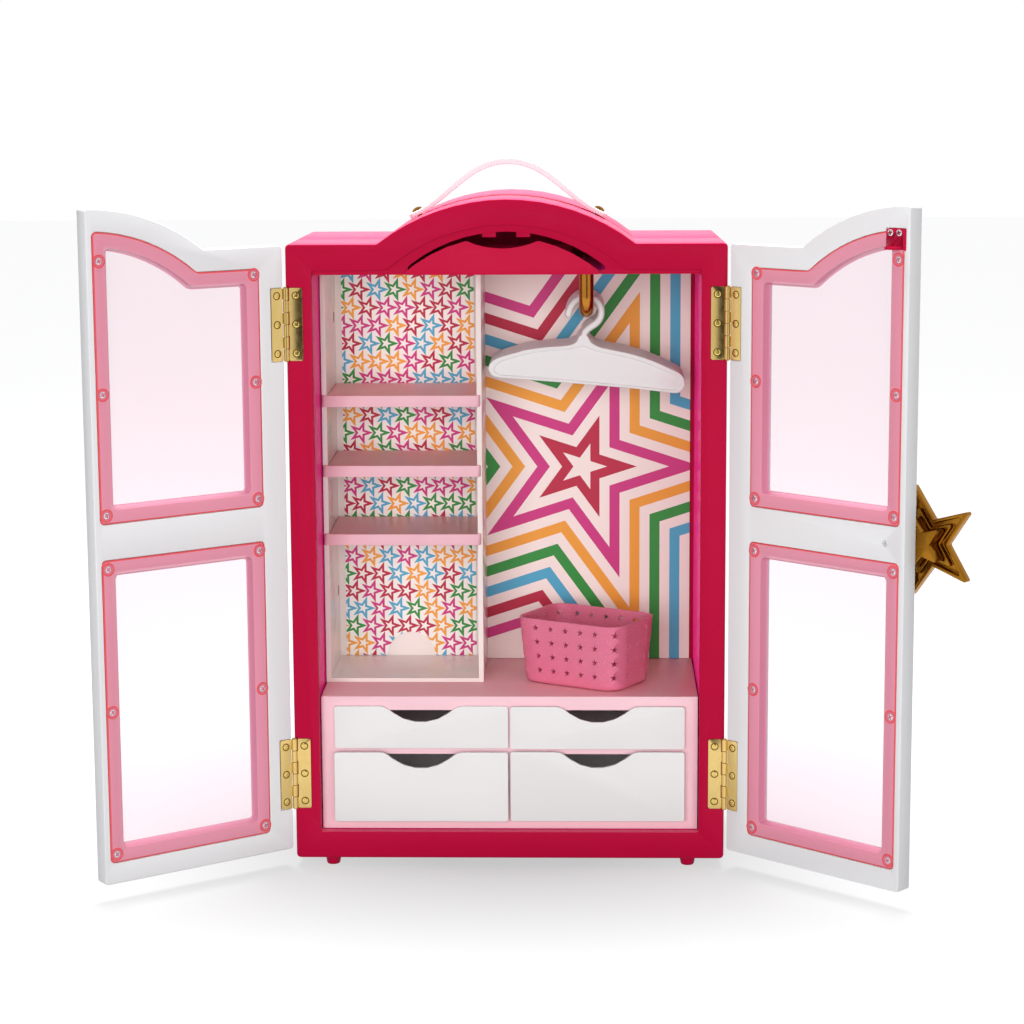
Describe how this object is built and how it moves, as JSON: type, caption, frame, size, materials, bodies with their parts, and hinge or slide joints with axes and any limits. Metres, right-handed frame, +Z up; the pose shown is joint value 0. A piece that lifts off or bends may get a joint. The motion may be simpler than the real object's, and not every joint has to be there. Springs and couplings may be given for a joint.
{
  "type": "doll closet",
  "caption": "Arched toy wardrobe with window doors, drawers, shelves, a rod with hangers, a basket, a pull-out top tray, a star latch and a carry strap.",
  "frame": {"origin": "on the cabinet's underside, half way along its width and its depth", "axes": "+X to the right as seen from the front, +Y from the front to the back, +Z up"},
  "size_m": [0.6139, 0.2538, 0.5227],
  "materials": {
    "raspberry": "satin moulded raspberry plastic",
    "raspberry_gloss": "glossy raspberry lining",
    "print_panel": "cream board printed with nested coloured star outlines",
    "print_card": "cream card printed with small coloured star outlines",
    "white_gloss": "glossy white moulded plastic",
    "pink_shelf": "satin pale pink plastic",
    "pink_chest": "pale pink plastic with a faint wood grain",
    "white_drawer": "white plastic with a fine embossed texture",
    "basket_pink": "translucent pink with glitter",
    "gold_rod": "polished gold plate",
    "white_hanger": "glossy white moulded plastic",
    "strap_white": "smooth white flexible strap",
    "brass": "bright brass plate",
    "door_white": "satin white moulded plastic",
    "window_pink": "translucent frosted pink",
    "gold_star": "metallic gold coating",
    "silver_screw": "zinc plated"
  },
  "bodies": {
    "cabinet": {"front_frame": "raspberry", "rear_shell": "raspberry", "inner_liner": "raspberry_gloss", "right_back_panel": "print_panel", "shelf_tower": "white_gloss", "tower_backing": "print_card", "shelf_bottom": "pink_shelf", "shelf_middle": "pink_shelf", "shelf_top": "pink_shelf", "drawer_chest": "pink_chest", "basket": "basket_pink", "clothes_rod": "gold_rod", "handle_strap": "strap_white", "rivet_left": "brass", "rivet_right": "brass", "foot_front_left": "raspberry", "foot_front_right": "raspberry", "foot_rear_left": "raspberry", "foot_rear_right": "raspberry", "left_upper_hinge_frame_leaf": "brass", "left_upper_hinge_pin": "brass", "left_lower_hinge_frame_leaf": "brass", "left_lower_hinge_pin": "brass", "right_upper_hinge_frame_leaf": "brass", "right_upper_hinge_pin": "brass", "right_lower_hinge_frame_leaf": "brass", "right_lower_hinge_pin": "brass"},
    "left_door": {"left_door_frame": "door_white", "left_upper_window_insert": "window_pink", "left_lower_window_insert": "window_pink", "left_upper_hinge_door_leaf": "brass", "left_lower_hinge_door_leaf": "brass"},
    "right_door": {"right_door_frame": "door_white", "right_upper_window_insert": "window_pink", "right_lower_window_insert": "window_pink", "right_upper_hinge_door_leaf": "brass", "right_lower_hinge_door_leaf": "brass", "door_catch": "raspberry", "star_latch": "gold_star", "star_hub": "gold_star", "latch_screw": "silver_screw"},
    "upper_left_drawer": {"drawer_upper_left": "white_drawer"},
    "upper_right_drawer": {"drawer_upper_right": "white_drawer"},
    "lower_left_drawer": {"drawer_lower_left": "white_drawer"},
    "lower_right_drawer": {"drawer_lower_right": "white_drawer"},
    "tray": {"top_tray": "raspberry"},
    "hanger_1_body": {"hanger_1": "white_hanger"},
    "hanger_2_body": {"hanger_2": "white_hanger"},
    "hanger_3_body": {"hanger_3": "white_hanger"},
    "hanger_4_body": {"hanger_4": "white_hanger"},
    "hanger_5_body": {"hanger_5": "white_hanger"},
    "hanger_6_body": {"hanger_6": "white_hanger"}
  },
  "joints": [
    {"name": "left_door_swing", "type": "hinge", "parent": "cabinet", "child": "left_door", "pos_m": [-0.159, -0.07155, 0.232], "axis": [0, 0, -1], "range_deg": [-142.7, 37.3]},
    {"name": "right_door_swing", "type": "hinge", "parent": "cabinet", "child": "right_door", "pos_m": [0.159, -0.07155, 0.232], "axis": [0, 0, 1], "range_deg": [-137.9, 42.1]},
    {"name": "upper_left_drawer_slide", "type": "slide", "parent": "cabinet", "child": "upper_left_drawer", "axis": [0, -1, 0], "range_m": [0, 0.1]},
    {"name": "upper_right_drawer_slide", "type": "slide", "parent": "cabinet", "child": "upper_right_drawer", "axis": [0, -1, 0], "range_m": [-0.0014, 0.0986]},
    {"name": "lower_left_drawer_slide", "type": "slide", "parent": "cabinet", "child": "lower_left_drawer", "axis": [0, -1, 0], "range_m": [-0.0058, 0.0942]},
    {"name": "lower_right_drawer_slide", "type": "slide", "parent": "cabinet", "child": "lower_right_drawer", "axis": [0, -1, 0], "range_m": [-0.0044, 0.0956]},
    {"name": "tray_slide", "type": "slide", "parent": "cabinet", "child": "tray", "axis": [0, -1, 0], "range_m": [0, 0.09]},
    {"name": "hanger_1_swing", "type": "hinge", "parent": "cabinet", "child": "hanger_1_body", "pos_m": [0.0576, -0.00925, 0.4039], "axis": [0, 1, 0], "range_deg": [-9.7, 4.3]},
    {"name": "hanger_2_swing", "type": "hinge", "parent": "cabinet", "child": "hanger_2_body", "pos_m": [0.0576, 0.00075, 0.4039], "axis": [0, 1, 0], "range_deg": [-9.7, 4.3]},
    {"name": "hanger_3_swing", "type": "hinge", "parent": "cabinet", "child": "hanger_3_body", "pos_m": [0.0576, 0.01075, 0.4039], "axis": [0, 1, 0], "range_deg": [-9.7, 4.3]},
    {"name": "hanger_4_swing", "type": "hinge", "parent": "cabinet", "child": "hanger_4_body", "pos_m": [0.0576, 0.02075, 0.4039], "axis": [0, 1, 0], "range_deg": [-9.7, 4.3]},
    {"name": "hanger_5_swing", "type": "hinge", "parent": "cabinet", "child": "hanger_5_body", "pos_m": [0.0576, 0.03075, 0.4039], "axis": [0, 1, 0], "range_deg": [-9.7, 4.3]},
    {"name": "hanger_6_swing", "type": "hinge", "parent": "cabinet", "child": "hanger_6_body", "pos_m": [0.0576, 0.04075, 0.4039], "axis": [0, 1, 0], "range_deg": [-9.7, 4.3]}
  ]
}
